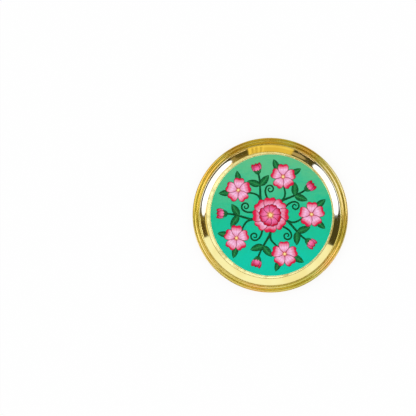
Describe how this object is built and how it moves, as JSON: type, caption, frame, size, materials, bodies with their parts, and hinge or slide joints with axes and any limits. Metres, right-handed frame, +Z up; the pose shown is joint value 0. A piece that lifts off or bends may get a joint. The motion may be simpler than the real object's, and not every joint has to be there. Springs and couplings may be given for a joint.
{
  "type": "plate",
  "caption": "Round polished brass plate with a grooved rim, a rolled edge, and a printed floral picture disc sealed on its flat floor.",
  "frame": {"origin": "middle of the dish's flat underside, on the table that the plate lies on", "axes": "+Z up, out of the plate's face; +Y towards the top of the picture; +X to the picture's right"},
  "size_m": [0.2032, 0.2032, 0.008],
  "materials": {
    "brass": "spun and mirror polished",
    "picture_print": "printed film, satin",
    "clear_resin": "clear gloss resin"
  },
  "bodies": {
    "root": {"brass_dish": "brass", "picture_disc": "picture_print", "clear_coat": "clear_resin"}
  },
  "joints": []
}
